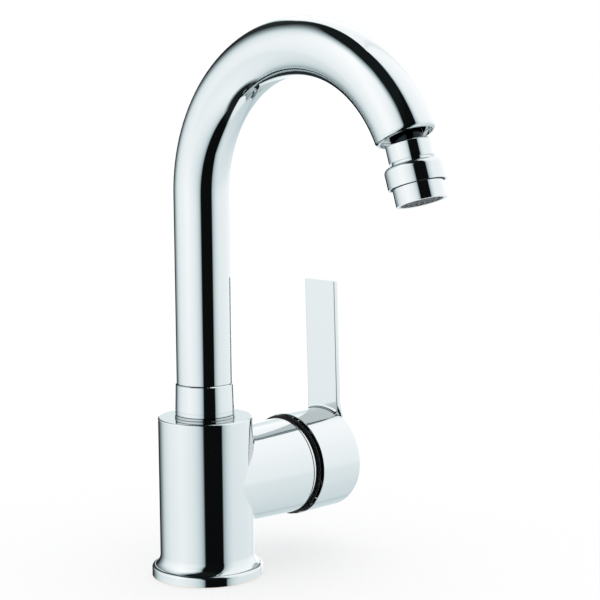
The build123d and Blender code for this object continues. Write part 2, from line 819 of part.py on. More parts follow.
# Spout lock screw: its tip keeps the nipple in the socket and stops the swing at both ends.
lock_tip_end = socket_radius - lock_tip_length
with BuildPart() as spout_lock_screw:
    with BuildSketch(Plane(origin=(0, lock_tip_end, socket_floor + lock_height), z_dir=(0, 1, 0))):
        Circle(lock_tip_radius)
    extrude(amount=lock_tip_length + loose)
    with BuildSketch(
        Plane(origin=(0, socket_radius + loose, socket_floor + lock_height), z_dir=(0, 1, 0))
    ):
        Circle(lock_body_radius)
    extrude(amount=body_radius - lock_recess - socket_radius - loose)
    with BuildSketch(
        Plane(origin=(0, body_radius - lock_recess, socket_floor + lock_height), z_dir=(0, -1, 0))
    ):
        RegularPolygon(grub_key_radius, 6)
    extrude(amount=grub_key_depth, mode=Mode.SUBTRACT)
save(spout_lock_screw, "spout_lock_screw")

# Spout tube: straight riser and one bend, with its end rounded outside.
with BuildPart() as spout_tube:
    with BuildLine(Plane.YZ) as tube_path:
        Line((0, collar_end), (0, bend_start))
        CenterArc((-bend_radius, bend_start), bend_radius, 0, bend_angle)
    with BuildSketch(Plane.XY.offset(collar_end)):
        Circle(tube_radius)
        Circle(tube_bore, mode=Mode.SUBTRACT)
    sweep(path=tube_path.wires()[0])
    foot_rims = edges().filter_by(GeomType.CIRCLE).filter_by_position(Axis.Z, collar_end, collar_end)
    chamfer(foot_rims.sort_by(SortBy.RADIUS)[-1], tube_edge)
    fillet(faces().filter_by(GeomType.PLANE).sort_by(Axis.Y)[0].outer_wire().edges(), tube_end_round)
save(spout_tube, "spout_tube")

# Spout end bush: brass bush soldered into the tube's end, threaded for the swivel neck.
with BuildPart() as spout_end_bush:
    with BuildSketch(tube_station(-bush_recess - bush_flange)):
        Circle(tube_bore - bush_flange_gap)
    extrude(amount=bush_flange)
    with BuildSketch(tube_station(-bush_recess - bush_thickness)):
        Circle(bush_radius)
    extrude(amount=bush_thickness - bush_flange)
    with BuildSketch(outlet_station(-bush_recess - 2 * bush_thickness)):
        Circle(shank_radius + seat_gap)
    extrude(amount=bush_recess + 2 * bush_thickness, mode=Mode.SUBTRACT)
save(spout_end_bush, "spout_end_bush")

# Swivel neck: threaded shank, the short neck that shows and the ball at its lower end.
with BuildPart() as swivel_neck:
    with BuildSketch(outlet_station(neck_drop)):
        Circle(neck_radius)
    extrude(amount=neck_length)
    chamfer(edges().filter_by(GeomType.CIRCLE).sort_by(outlet_axis)[0], neck_edge)
    with BuildSketch(outlet_station(-bush_recess - shank_length)):
        Circle(shank_radius)
    extrude(amount=bush_recess + shank_length + neck_drop)
    with BuildSketch(outlet_plane):
        with BuildLine():
            Polyline(
                (ball_place + ball_cut, ball_width(ball_cut, ball_radius)),
                (ball_place + ball_cut, 0),
                (neck_end, 0),
                (neck_end, ball_neck_radius),
                (ball_place - ball_width(ball_neck_radius, ball_radius), ball_neck_radius),
            )
            ThreePointArc(
                (ball_place - ball_width(ball_neck_radius, ball_radius), ball_neck_radius),
                (ball_place, ball_radius),
                (ball_place + ball_cut, ball_width(ball_cut, ball_radius)),
            )
        make_face()
    revolve(axis=outlet_axis)
    with BuildSketch(outlet_station(-bush_recess - shank_length)):
        Circle(outlet_bore)
    extrude(amount=bush_recess + shank_length + ball_place + ball_cut, mode=Mode.SUBTRACT)
save(swivel_neck, "swivel_neck")

# Ball seat: split slip ring above the ball's middle, held under the swivel ring's lip.
seat_ball = ball_radius + running
with BuildPart() as ball_seat:
    with BuildSketch(outlet_station(ball_place - seat_rise)):
        Circle(ring_bore - running)
    extrude(amount=seat_rise + seat_drop)
    with Locations((0, end_y + ball_place * outlet_y, end_z + ball_place * outlet_z)):
        Sphere(seat_ball, mode=Mode.SUBTRACT)
save(ball_seat, "ball_seat")

# Ball seal: rubber ring under the ball's middle, resting on the sleeve's spigot.
with BuildPart() as ball_seal:
    with BuildSketch(outlet_station(ball_place + seat_drop + seat_gap)):
        Circle(ring_bore - running)
    extrude(amount=seal_drop - seat_drop - seat_gap)
    with Locations((0, end_y + ball_place * outlet_y, end_z + ball_place * outlet_z)):
        Sphere(seat_ball, mode=Mode.SUBTRACT)
save(ball_seal, "ball_seal")

# Swivel ring: chromed ring with a rounded shoulder and an inward lip over the ball seat.
with BuildPart() as swivel_ring:
    with BuildSketch(outlet_station(ring_start)):
        Circle(ring_radius)
    extrude(amount=ring_length)
    fillet(edges().filter_by(GeomType.CIRCLE).sort_by(outlet_axis)[0], ring_shoulder)
    with BuildSketch(outlet_station(ring_start + ring_lip)):
        Circle(ring_bore)
    extrude(amount=ring_length, mode=Mode.SUBTRACT)
    with BuildSketch(outlet_station(ring_start)):
        Circle(ring_lip_radius)
    extrude(amount=ring_length, mode=Mode.SUBTRACT)
save(swivel_ring, "swivel_ring")

# Aerator sleeve: screws into the swivel ring and holds the aerator on its lower lip.
with BuildPart() as aerator_sleeve:
    with BuildSketch(outlet_station(ring_end - sleeve_spigot)):
        Circle(ring_bore - slip)
    extrude(amount=sleeve_spigot)
    with BuildSketch(outlet_station(ring_end)):
        Circle(sleeve_radius)
    extrude(amount=sleeve_length)
    with BuildSketch(outlet_station(ring_end - sleeve_spigot)):
        Circle(sleeve_bore)
    extrude(amount=sleeve_spigot + sleeve_length - sleeve_lip_height, mode=Mode.SUBTRACT)
    with BuildSketch(outlet_station(ring_end)):
        Circle(sleeve_bore - sleeve_lip)
    extrude(amount=sleeve_length, mode=Mode.SUBTRACT)
save(aerator_sleeve, "aerator_sleeve")

# Aerator insert: moulded jet former, a rim round a plate with rings of small holes.
with BuildPart() as aerator_insert:
    with BuildSketch(outlet_station(insert_start)):
        Circle(insert_radius)
    extrude(amount=insert_height)
    with BuildSketch(outlet_station(insert_start)):
        Circle(insert_plate_radius)
    extrude(amount=insert_height - insert_plate, mode=Mode.SUBTRACT)
    with BuildSketch(outlet_station(insert_start)):
        Circle(insert_hole_radius)
        for hole_ring in range(1, insert_hole_rings + 1):
            with PolarLocations(hole_ring * insert_hole_pitch, 6 * hole_ring):
                Circle(insert_hole_radius)
    extrude(amount=insert_height, mode=Mode.SUBTRACT)
save(aerator_insert, "aerator_insert")

# Aerator washer: flat rubber ring over the aerator.
with BuildPart() as aerator_washer:
    with BuildSketch(outlet_station(insert_start - washer_height)):
        Circle(insert_radius)
        Circle(insert_radius - washer_width, mode=Mode.SUBTRACT)
    extrude(amount=washer_height)
save(aerator_washer, "aerator_washer")
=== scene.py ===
import math

import bpy
from mathutils import Matrix, Vector


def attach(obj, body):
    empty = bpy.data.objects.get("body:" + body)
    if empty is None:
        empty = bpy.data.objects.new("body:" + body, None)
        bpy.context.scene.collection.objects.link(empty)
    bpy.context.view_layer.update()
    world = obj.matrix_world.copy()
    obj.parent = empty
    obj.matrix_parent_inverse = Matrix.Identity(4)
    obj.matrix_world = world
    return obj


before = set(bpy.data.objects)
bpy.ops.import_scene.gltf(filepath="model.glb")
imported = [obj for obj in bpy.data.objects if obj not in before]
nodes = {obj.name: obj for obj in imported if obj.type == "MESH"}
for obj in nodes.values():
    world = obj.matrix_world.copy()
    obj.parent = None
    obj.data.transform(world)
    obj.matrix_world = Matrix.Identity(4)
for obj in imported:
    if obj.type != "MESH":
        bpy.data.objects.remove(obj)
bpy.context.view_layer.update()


# Camera: fitted to the outlines in the photograph. It stands 0.84 m from the tap's axis, level with
# the bend, looks down by 7 degrees and leans by half a degree.
camera_data = bpy.data.cameras.new("camera")
camera = bpy.data.objects.new("camera", camera_data)
bpy.context.scene.collection.objects.link(camera)
bpy.context.scene.camera = camera
camera_data.sensor_width = 36.0
camera_data.lens = 102.816
camera_data.shift_x = -0.01093
camera_data.shift_y = -0.02987
camera_place = Vector((-0.55778, -0.63193, 0.24696))
look = Vector((0.7010, 0.7032, -0.1183)).normalized()
across = Vector((0.7075, -0.7067, -0.00854)).normalized()
upward = across.cross(look)
turn = Matrix((across, upward, -look)).transposed()
camera.matrix_world = Matrix.Translation(camera_place) @ turn.to_4x4()


# Studio light: a white cloth tent round the tap. The camera and matt things see plain white. Chrome
# mirrors the tent itself: the black slit beside the camera, the dark roof, the dark table edge low in
# front, and cloth that fades towards its gaps and is a little blue-green where it is darker.
def add_node(tree, kind, inputs=(), stops=(), **settings):
    """Adds a shader node. An input is a value, a node or a node's output. Stops fill a colour ramp.
    A MapRange takes a value, the two ends that it maps from and the two that it maps to."""
    node = tree.nodes.new("ShaderNode" + kind)
    for name, value in settings.items():
        setattr(node, name, value)
    pairs = inputs.items() if isinstance(inputs, dict) else enumerate(inputs)
    for socket, value in pairs:
        if isinstance(value, bpy.types.Node):
            value = value.outputs[0]
        if isinstance(value, bpy.types.NodeSocket):
            tree.links.new(value, node.inputs[socket])
        else:
            node.inputs[socket].default_value = value
    if stops:
        elements = node.color_ramp.elements
        elements.remove(elements[-1])
        for number, (place, shade) in enumerate(stops):
            stop = elements.new(place) if number else elements[0]
            stop.position = place
            stop.color = shade if isinstance(shade, tuple) else (shade, shade, shade, 1.0)
    return node


def linear(code):
    """Turns an sRGB hex colour into the linear colour that Blender works in."""
    parts = [int(code[i:i + 2], 16) / 255 for i in (0, 2, 4)]
    return tuple(p / 12.92 if p <= 0.04045 else ((p + 0.055) / 1.055) ** 2.4 for p in parts) + (1.0,)


def spread(least, most, stops):
    """Turns a ramp's stops given in degrees, from the least to the most, into places from 0 to 1."""
    return [((degrees - least) / (most - least), shade) for degrees, shade in stops]


world = bpy.data.worlds.new("studio_tent")
bpy.context.scene.world = world
world.use_nodes = True
tree = world.node_tree
tree.nodes.clear()

# Degrees round the tent, from the camera towards the photograph's right, and degrees over the horizon.
camera_side = 225.09
where = add_node(tree, "TexCoord").outputs["Generated"]
seen = add_node(tree, "Mapping", {"Vector": where, "Rotation": (0.0, 0.0, math.radians(-camera_side))})
sides = add_node(tree, "SeparateXYZ", [seen]).outputs
radians_round = add_node(tree, "Math", [sides["Y"], sides["X"]], operation="ARCTAN2")
radians_up = add_node(tree, "Math", [sides["Z"]], operation="ARCSINE")
angle = add_node(tree, "Math", [radians_round, math.degrees(1.0)], operation="MULTIPLY")
height = add_node(tree, "Math", [radians_up, math.degrees(1.0)], operation="MULTIPLY")

# The slit's right border leans outwards near the table, its left border leans outwards higher up, and
# the narrow gap at the back on the left leans towards the front. Each lean fades in over the heights
# and the angles given.
leans = []
for heights, degrees_leant, angles in (((-62, -38), (15, 0), (10, 40)),
                                       ((0, 28), (0, 8), (20, 5)),
                                       ((10, 45), (0, 24), (-60, -100))):
    by_height = add_node(tree, "MapRange", [height, *heights, *degrees_leant])
    by_angle = add_node(tree, "MapRange", [angle, *angles])
    leans.append(add_node(tree, "Math", [by_height, by_angle], operation="MULTIPLY"))
right_lean, left_lean, back_lean = leans
to_right = add_node(tree, "Math", [angle, left_lean], operation="ADD")
to_left = add_node(tree, "Math", [right_lean, back_lean], operation="ADD")
leant = add_node(tree, "Math", [to_right, to_left], operation="SUBTRACT")
share = add_node(tree, "MapRange", [leant, -180, 180])

# The cloth's brightness round the tent. The slit runs from the camera to 43 degrees on its right.
cloth = add_node(tree, "ValToRGB", [share], stops=spread(-180, 180, [
    (-180, 0.88), (-171, 0.86), (-167, 0.02), (-150, 0.02), (-140, 0.18), (-132, 0.36), (-126, 0.53),
    (-120, 0.67), (-110, 0.79), (-95, 0.88), (-60, 0.96), (-45, 0.92), (-30, 0.86), (-20, 0.78),
    (-14, 0.70), (-9, 0.59), (-4, 0.38), (-1, 0.004), (43, 0.004), (45, 0.40), (48, 0.49), (53, 0.64),
    (58, 0.73), (70, 0.84), (100, 0.88), (130, 0.90), (142, 0.88), (150, 0.76), (158, 0.86), (180, 0.88)]))

# The cloth is brightest high up and a little darker just under the horizon.
up_share = add_node(tree, "MapRange", [height, -90, 90])
by_level = add_node(tree, "ValToRGB", [up_share], stops=spread(-90, 90, [
    (-42, 0.94), (-26, 0.90), (-14, 0.885), (-4, 0.94), (35, 1.0)]))

# It fades low down at the back on the right, from 8 degrees under the horizon.
fade_level = -8.0
under_level = add_node(tree, "Math", [fade_level, height], operation="SUBTRACT")
fade_depth = add_node(tree, "MapRange", [angle, 90, 165, 37, 14])
low_share = add_node(tree, "Math", [under_level, fade_depth], operation="DIVIDE", use_clamp=True)
right_share = add_node(tree, "MapRange", [angle, 60, 170, 0.05, 0.34])
low_back = add_node(tree, "Math", [low_share, right_share], operation="MULTIPLY")

# It is also darker on the far side just over the horizon, which the level top of the body mirrors.
past_horizon = add_node(tree, "MapRange", [height, 1, 7])
below_middle = add_node(tree, "MapRange", [height, 30, 19])
over_horizon = add_node(tree, "Math", [past_horizon, below_middle], operation="MULTIPLY")
to_either_side = add_node(tree, "Math", [angle], operation="ABSOLUTE")
far_share = add_node(tree, "MapRange", [to_either_side, 160, 172, 0.0, 0.27])
far_side = add_node(tree, "Math", [over_horizon, far_share], operation="MULTIPLY")
lightness = add_node(tree, "Math", [by_level, low_back], operation="SUBTRACT")
lightness = add_node(tree, "Math", [lightness, far_side], operation="SUBTRACT")
shades = {0: 1.0, 6: cloth, 7: lightness}
shaded = add_node(tree, "Mix", shades, data_type="RGBA", blend_type="MULTIPLY")

# The table's edge is dark on the left and in front, and pale on the right.
table = add_node(tree, "ValToRGB", [share], stops=spread(-180, 180, [
    (-180, 0.8), (-160, 0.012), (42, 0.012), (54, 0.8), (180, 0.8)]))
down_to_table = add_node(tree, "MapRange", [height, -64, -72])
walls = add_node(tree, "Mix", {0: down_to_table, 6: shaded.outputs[2], 7: table}, data_type="RGBA")

# The roof is dark, and its edge is soft. A ramp holds up to 1, so the edge's height is in hundreds of
# degrees.
roof_edge = add_node(tree, "ValToRGB", [share], stops=spread(-180, 180, [
    (-180, 0.95), (-168, 0.58), (-60, 0.58), (-30, 0.55), (-12, 0.48), (0, 0.40), (5, 0.44),
    (25, 0.58), (36, 0.62), (44, 0.95), (180, 0.95)]))
roof_shade = (0.008, 0.009, 0.009, 1.0)
roof_curve = 1.6
roof_height = add_node(tree, "Math", [roof_edge, 100.0], operation="MULTIPLY")
over_edge = add_node(tree, "Math", [height, roof_height], operation="SUBTRACT")
softness = add_node(tree, "MapRange", [angle, 0, 20, 18, 8])
edge_share = add_node(tree, "Math", [over_edge, softness], operation="DIVIDE")
roof_share = add_node(tree, "MapRange", [edge_share, -0.8, 0.2])
roof = add_node(tree, "Math", [roof_share, roof_curve], operation="POWER")
tent = add_node(tree, "Mix", {0: roof, 6: walls.outputs[2], 7: roof_shade}, data_type="RGBA")

# Darker cloth is a little blue-green and the brightest is a little warm. The tent is brighter than the
# plain white, because chrome gives back only about half of what it mirrors.
mirror_strength = 2.1
cold = (0.86, 0.945, 0.965, 1.0)
warm = (1.03, 0.945, 0.935, 1.0)
tint = add_node(tree, "ValToRGB", [tent.outputs[2]], stops=[(0.0, cold), (0.5, cold), (0.95, warm)])
colours = {0: 1.0, 6: tent.outputs[2], 7: tint}
tinted = add_node(tree, "Mix", colours, data_type="RGBA", blend_type="MULTIPLY")
mirrored = add_node(tree, "Background", {"Color": tinted.outputs[2], "Strength": mirror_strength})
plain = add_node(tree, "Background", {"Color": (1.0, 1.0, 1.0, 1.0), "Strength": 1.0})
in_mirror = add_node(tree, "LightPath").outputs["Is Glossy Ray"]
add_node(tree, "OutputWorld", [add_node(tree, "MixShader", [in_mirror, plain, mirrored])])
bpy.context.scene.view_settings.view_transform = "Standard"


# Floor: a sheet of matt white paper on the table. It takes the tap's soft shadow and fades into the
# white background a hand's breadth away. Mirrors look through it to the tent, as in the photograph.
floor_size = 1.6
floor_level = -0.0003
fade_start = 0.06
fade_end = 0.24
fibre_size = 0.0006
glow_share = 0.6
bpy.ops.object.select_all(action="DESELECT")
bpy.ops.mesh.primitive_plane_add(size=floor_size, location=(0.0, 0.0, floor_level))
floor = bpy.context.object
floor.name = "studio_floor"

# Matt white paper: its fibres make it very faintly uneven, and it has no shine. The camera sees it
# partly as a glow, so that it stays as white as the background while it keeps the shadow.
paper = bpy.data.materials.new("matt_white_paper")
paper.use_nodes = True
tree = paper.node_tree
tree.nodes.clear()
place = add_node(tree, "TexCoord").outputs["Object"]
rays = add_node(tree, "LightPath").outputs
from_tap = add_node(tree, "VectorMath", [place], operation="LENGTH").outputs["Value"]
faded = add_node(tree, "MapRange", [from_tap, fade_start, fade_end])
gone = add_node(tree, "Math", [faded, rays["Is Glossy Ray"]], operation="MAXIMUM")
fibres = add_node(tree, "TexNoise", {"Vector": place, "Scale": 1 / fibre_size, "Detail": 3.0})
paper_colours = {0: fibres, 6: linear("FDFDFE"), 7: linear("FFFFFF")}
paper_colour = add_node(tree, "Mix", paper_colours, data_type="RGBA").outputs[2]
matt = add_node(tree, "BsdfDiffuse", {"Color": paper_colour})
glow = add_node(tree, "Emission", {"Color": paper_colour, "Strength": 1.0})
to_camera = add_node(tree, "Math", [rays["Is Camera Ray"], glow_share], operation="MULTIPLY")
bright = add_node(tree, "MixShader", [to_camera, matt, glow])
clear = add_node(tree, "BsdfTransparent")
add_node(tree, "OutputMaterial", [add_node(tree, "MixShader", [gone, bright, clear])])
floor.data.materials.append(paper)


# Body: one brass casting with foot, barrel and side housing, ground, polished and chromed. Its
# underside and its threaded holes are machined after plating, so bare brass shows there.
chrome_colour = "B6BFC1"


def new_material(name, colour, metallic, roughness):
    """Makes a material and returns it with its tree, its shader and the object's coordinates."""
    material = bpy.data.materials.new(name)
    material.use_nodes = True
    tree = material.node_tree
    shader = tree.nodes["Principled BSDF"]
    shader.inputs["Base Color"].default_value = linear(colour)
    shader.inputs["Metallic"].default_value = metallic
    shader.inputs["Roughness"].default_value = roughness
    return material, tree, shader, add_node(tree, "TexCoord").outputs["Object"]


def dull_patches(tree, shader, place, size, least, most, low=0.3, high=0.7):
    """Lets the roughness wander between two values in soft patches about this wide in metres."""
    patches = add_node(tree, "TexNoise", {"Vector": place, "Scale": 1 / size})
    roughness = add_node(tree, "MapRange", [patches, low, high, least, most])
    tree.links.new(roughness.outputs[0], shader.inputs["Roughness"])
    return roughness


def raised(tree, shader, pattern, depth):
    """Raises the surface by a pattern, as deep as this in metres."""
    bump = add_node(tree, "Bump", {"Height": pattern, "Distance": depth})
    tree.links.new(bump.outputs[0], shader.inputs["Normal"])


def raised_grain(tree, shader, place, size, depth, detail=2.0):
    """Raises an even grain of this size and depth in metres, and returns its pattern."""
    grain = add_node(tree, "TexNoise", {"Vector": place, "Scale": 1 / size, "Detail": detail})
    raised(tree, shader, grain, depth)
    return grain


def mottled(tree, shader, share, first, second):
    """Lets the colour wander between two hex colours, or between a hex colour and a node's output."""
    colours = [linear(colour) if isinstance(colour, str) else colour for colour in (first, second)]
    mix = add_node(tree, "Mix", {0: share, 6: colours[0], 7: colours[1]}, data_type="RGBA").outputs[2]
    tree.links.new(mix, shader.inputs["Base Color"])
    return mix


def bright_chrome(name):
    """Polished and chromed metal: a clear mirror with hazy patches and the very faint ripple that the
    polishing wheel leaves, so that reflections run a little unevenly."""
    material, tree, shader, place = new_material(name, chrome_colour, metallic=1.0, roughness=0.02)
    haze = dull_patches(tree, shader, place, size=0.007, least=0.012, most=0.03, low=0.35, high=0.75)
    raised_grain(tree, shader, place, size=0.005, depth=0.0000025)
    return material, tree, shader, place, haze


def finish(node, material):
    """Gives a CAD node this material in place of its plain one."""
    nodes[node].data.materials.clear()
    nodes[node].data.materials.append(material)


chrome = bright_chrome("bright_chrome_on_polished_brass")[0]

# The casting's own finish: chrome outside, and warm brass with fine tool marks, duller than the
# chrome, in the holes up to their top and on the underside.
hole_reach = 0.0165
hole_top = 0.0143
underside_top = 0.00005
cut_size = 0.0008
cut_dullness = 0.25
cast_body, tree, shader, place, haze = bright_chrome("bright_chrome_with_bare_brass_bores")
level = add_node(tree, "SeparateXYZ", [place]).outputs["Z"]
flat = add_node(tree, "VectorMath", [place, (1.0, 1.0, 0.0)], operation="MULTIPLY")
from_axis = add_node(tree, "VectorMath", [flat], operation="LENGTH").outputs["Value"]
near_axis = add_node(tree, "Math", [from_axis, hole_reach], operation="LESS_THAN")
below_top = add_node(tree, "Math", [level, hole_top], operation="LESS_THAN")
in_holes = add_node(tree, "Math", [near_axis, below_top], operation="MULTIPLY")
on_underside = add_node(tree, "Math", [level, underside_top], operation="LESS_THAN")
bare = add_node(tree, "Math", [in_holes, on_underside], operation="MAXIMUM")
cut = add_node(tree, "TexNoise", {"Vector": place, "Scale": 1 / cut_size})
brass = mottled(tree, shader, cut, "B98F45", "D9B469")
mottled(tree, shader, bare, chrome_colour, brass)
duller = add_node(tree, "Math", [bare, cut_dullness], operation="MULTIPLY")
roughness = add_node(tree, "Math", [haze, duller], operation="ADD")
tree.links.new(roughness.outputs[0], shader.inputs["Roughness"])
finish("body_casting", cast_body)


# Base gasket: flat ring of black nitrile rubber, moulded and pressed into a groove under the foot. It
# keeps water from running under the tap.
def moulded_rubber(name, colour, grain, roughness):
    """Moulded rubber: dark and dull, with the fine grain of the mould and a slight uneven sheen."""
    material, tree, shader, place = new_material(name, colour, metallic=0.0, roughness=roughness)
    dull_patches(tree, shader, place, size=0.004, least=roughness - 0.08, most=roughness + 0.08)
    raised_grain(tree, shader, place, size=grain, depth=grain * 0.15, detail=4.0)
    return material


rubber = moulded_rubber("black_nitrile_rubber", "17181A", grain=0.0002, roughness=0.6)
finish("base_gasket", rubber)


# Foot threads: the holes under the foot are tapped in the brass, M10 by 1 for the two supply tails
# and M8 by 1.25 for the fixing stud. Each is a tapped thread with sharp crests.
def lathe(name, outline, segments, material):
    """Turns a closed outline of radius and height pairs round Z, ring by ring."""
    bpy.ops.object.select_all(action="DESELECT")
    radius, level = outline[0]
    bpy.ops.mesh.primitive_circle_add(vertices=segments, radius=radius, location=(0.0, 0.0, 0.0))
    piece = bpy.context.object
    piece.name = name
    bpy.ops.object.mode_set(mode="EDIT")
    bpy.ops.mesh.select_all(action="SELECT")
    bpy.ops.transform.translate(value=(0.0, 0.0, level))
    for next_radius, next_level in outline[1:]:
        bpy.ops.mesh.extrude_region_move(TRANSFORM_OT_translate={"value": (0.0, 0.0, next_level - level)})
        grow = next_radius / radius
        bpy.ops.transform.resize(value=(grow, grow, 1.0), center_override=(0.0, 0.0, next_level))
        radius = next_radius
        level = next_level
    bpy.ops.mesh.select_all(action="SELECT")
    bpy.ops.mesh.remove_doubles(threshold=0.000002)
    bpy.ops.mesh.select_all(action="SELECT")
    bpy.ops.mesh.normals_make_consistent(inside=False)
    bpy.ops.object.mode_set(mode="OBJECT")
    bpy.ops.object.shade_smooth_by_angle(angle=math.radians(30))
    piece.data.materials.append(material)
    return piece


def thread_outline(wall, crest, pitch, start, end):
    """The outline of a thin sleeve: plain on its wall and toothed on the side of the crests."""
    sleeve_wall = 0.00002
    root = wall + math.copysign(sleeve_wall, crest - wall)
    tooth = ((0.12, root), (0.5, crest), (0.88, root))
    outline = [(wall, start), (root, start)]
    level = start
    while level + pitch <= end:
        outline += [(radius, level + pitch * along) for along, radius in tooth]
        level += pitch
    return outline + [(root, end), (wall, end), (wall, start)]


def turned_metal(name, colour, axis, pitch, depth, roughness):
    """Turned metal: fine tool rings across its axis, this far apart, which stretch its highlights
    along the axis, and a mottled dullness. Blender's waves repeat every tau / 20 at a scale of 1."""
    material, tree, shader, place = new_material(name, colour, metallic=1.0, roughness=roughness)
    waves = {"Vector": place, "Scale": math.tau / 20 / pitch, "Distortion": 0.6}
    rings = add_node(tree, "TexWave", waves, bands_direction=axis)
    dull_patches(tree, shader, place, size=0.003, least=roughness * 0.75, most=roughness * 1.25)
    raised(tree, shader, rings.outputs["Fac"], depth)
    return material


# Freshly cut brass: bright warm yellow, with a shine on every crest.
cut_brass = turned_metal(
    "freshly_cut_brass_thread", "D4AE62", "Z", pitch=0.0002, depth=0.000004, roughness=0.22)
inlet_aside = 0.0105
inlet_outline = thread_outline(wall=0.00448, crest=0.00408, pitch=0.001, start=0.0005, end=0.0128)
stud_outline = thread_outline(wall=0.00338, crest=0.00292, pitch=0.00125, start=0.0005, end=0.0115)
for side, middle in (("cold", -inlet_aside), ("hot", inlet_aside)):
    thread = lathe("inlet_thread_" + side, inlet_outline, segments=48, material=cut_brass)
    thread.location = (0.0, middle, 0.0)
    bpy.ops.object.transform_apply(location=True, rotation=False, scale=False)
    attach(thread, "body")
stud_thread = lathe("stud_thread", stud_outline, segments=40, material=cut_brass)
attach(stud_thread, "body")


# Bearing ring: low ring between the body and the collar, on which the spout turns. It is finished in
# chrome like its neighbours, and lies loose between them.
finish("spout_bearing_ring", chrome)


# Spout collar: sleeve turned from brass bar, bored for the nipple, with a fine groove above its foot,
# polished and chromed with the tube.
finish("spout_collar", chrome)


# Spout tube: brass tube of 28 mm, bent on a mandrel and soldered in the collar, then polished and
# chromed.
finish("spout_tube", chrome)


# Spout end thread: fine rings that the fitter's tool leaves on the wall of the recess in the tube's
# end, thinly chromed with the tube. They break up its reflection, so it looks grey.
spout_end = Vector((0.0, -0.134671, 0.220823))
tube_way = Vector((0.0, -0.425779, -0.904827))
outlet_way = Vector((0.0, -0.300706, -0.953717))


def lay_along(piece, way, spot):
    """Takes a piece from the Z axis to an axis through this spot, and applies the turn."""
    bpy.ops.object.select_all(action="DESELECT")
    piece.select_set(True)
    bpy.context.view_layer.objects.active = piece
    piece.rotation_euler = Vector((0.0, 0.0, 1.0)).rotation_difference(way).to_euler()
    piece.location = spot
    bpy.ops.object.transform_apply(location=True, rotation=True, scale=False)


def band(from_radius, to_radius, start, end):
    """The outline of a plain ring between two radii."""
    return [(from_radius, start), (to_radius, start), (to_radius, end), (from_radius, end),
            (from_radius, start)]


def cut_lines(name, colour, way, pitch, depth):
    """Shiny metal over fine lines that a tool has cut round an axis, this far apart."""
    material, tree, shader, place = new_material(name, colour, metallic=1.0, roughness=0.05)
    along = add_node(tree, "VectorMath", [place, way], operation="DOT_PRODUCT").outputs["Value"]
    turns = add_node(tree, "Math", [along, math.tau / pitch], operation="MULTIPLY")
    lines = add_node(tree, "Math", [turns], operation="SINE")
    dull_patches(tree, shader, place, size=0.0015, least=0.03, most=0.08)
    raised(tree, shader, lines, depth)
    return material


# Chrome over tool lines: a mirror broken into fine light and dark stripes.
tool_lines = cut_lines("chrome_over_tool_lines", chrome_colour, tube_way, pitch=0.00045, depth=0.0000006)
lining = band(from_radius=0.01198, to_radius=0.01192, start=-0.0023, end=-0.0001)
end_thread = lathe("spout_end_thread", lining, segments=128, material=tool_lines)
lay_along(end_thread, tube_way, spout_end)
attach(end_thread, "spout")


# Neck shank thread: the male thread of the swivel neck, which shows between the tube's end and the
# neck. It is rolled with a 0.5 mm pitch and coated with sealant.

# Dark blue-grey sealant on metal: it looks nearly black, with fine lines across.
sealed = cut_lines("thread_with_dark_sealant", "1A2026", outlet_way, pitch=0.0005, depth=0.000003)
shank = band(from_radius=0.00732, to_radius=0.00742, start=-0.0024, end=0.0022)
shank_thread = lathe("neck_shank_thread", shank, segments=96, material=sealed)
lay_along(shank_thread, outlet_way, spout_end)
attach(shank_thread, "spout")


# Spout nipple: brass tube under the collar, turned, with two ring grooves and a part-round groove for
# the lock screw. It stays bare, because it turns inside the body.

# Turned brass: warm yellow, with a soft shine that runs along the tube.
bare_brass = turned_metal("turned_bare_brass", "CFA75A", "Z", pitch=0.00018, depth=0.000003, roughness=0.24)
finish("spout_nipple", bare_brass)


# Spout rings: two moulded seals in the nipple's grooves, of black rubber. They are greased, so they
# are a little glossier than the gasket.
greased = moulded_rubber("greased_black_rubber", "131415", grain=0.00015, roughness=0.38)
finish("spout_o_rings", greased)


# Spout lock screw: stainless set screw with a hexagon key recess, turned and screwed in from the back.
# Its tip runs in the nipple's groove.

# Turned stainless steel: light cool grey, with a soft shine along the screw.
steel_y = turned_metal(
    "turned_stainless_steel_y", "C3C6C9", "Y", pitch=0.00012, depth=0.000002, roughness=0.2)
finish("spout_lock_screw", steel_y)


# Spout end bush: brass bush soldered into the tube's end, threaded for the swivel neck. Its lower
# face lies deep in the recess and is chromed with the tube.
finish("spout_end_bush", chrome)


# Swivel neck: brass stub turned with the ball on its end and screwed into the bush, polished and
# chromed.
finish("swivel_neck", chrome)


# Swivel ring: turned brass ring that holds the ball and carries the aerator's sleeve, polished and
# chromed.
finish("swivel_ring", chrome)


# Ball seat and ball seal: slip seat moulded in acetal, and a greased rubber ring. Both press on the
# ball inside the ring.

# Moulded acetal: milky white, half dull, with the mould's grain and faint clouds.
cloud_size = 0.006
acetal, tree, shader, place = new_material(
    "moulded_white_acetal", "E7E6E0", metallic=0.0, roughness=0.34)
raised_grain(tree, shader, place, size=0.00025, depth=0.000012, detail=3.0)
clouds = add_node(tree, "TexNoise", {"Vector": place, "Scale": 1 / cloud_size})
mottled(tree, shader, clouds, "E2E1DA", "ECEBE6")
finish("ball_seat", acetal)
finish("ball_seal", greased)


# Aerator sleeve: thin brass sleeve with a turned-in lip, screwed into the swivel ring, polished and
# chromed.
finish("aerator_sleeve", chrome)


# Sleeve joint shadow: thin ring of dark rubber in the joint between the swivel ring and the sleeve, put
# there as painted shade for the shadow in the gap under the ring's step. It shows as a fine dark line
# round the outlet.
joint_shadow_outline = band(from_radius=0.01142, to_radius=0.01215, start=0.02121, end=0.02136)
sleeve_joint_shadow_ring = lathe("sleeve_joint_shadow_ring", joint_shadow_outline, segments=128, material=rubber)
lay_along(sleeve_joint_shadow_ring, outlet_way, spout_end)
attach(sleeve_joint_shadow_ring, "outlet_head")
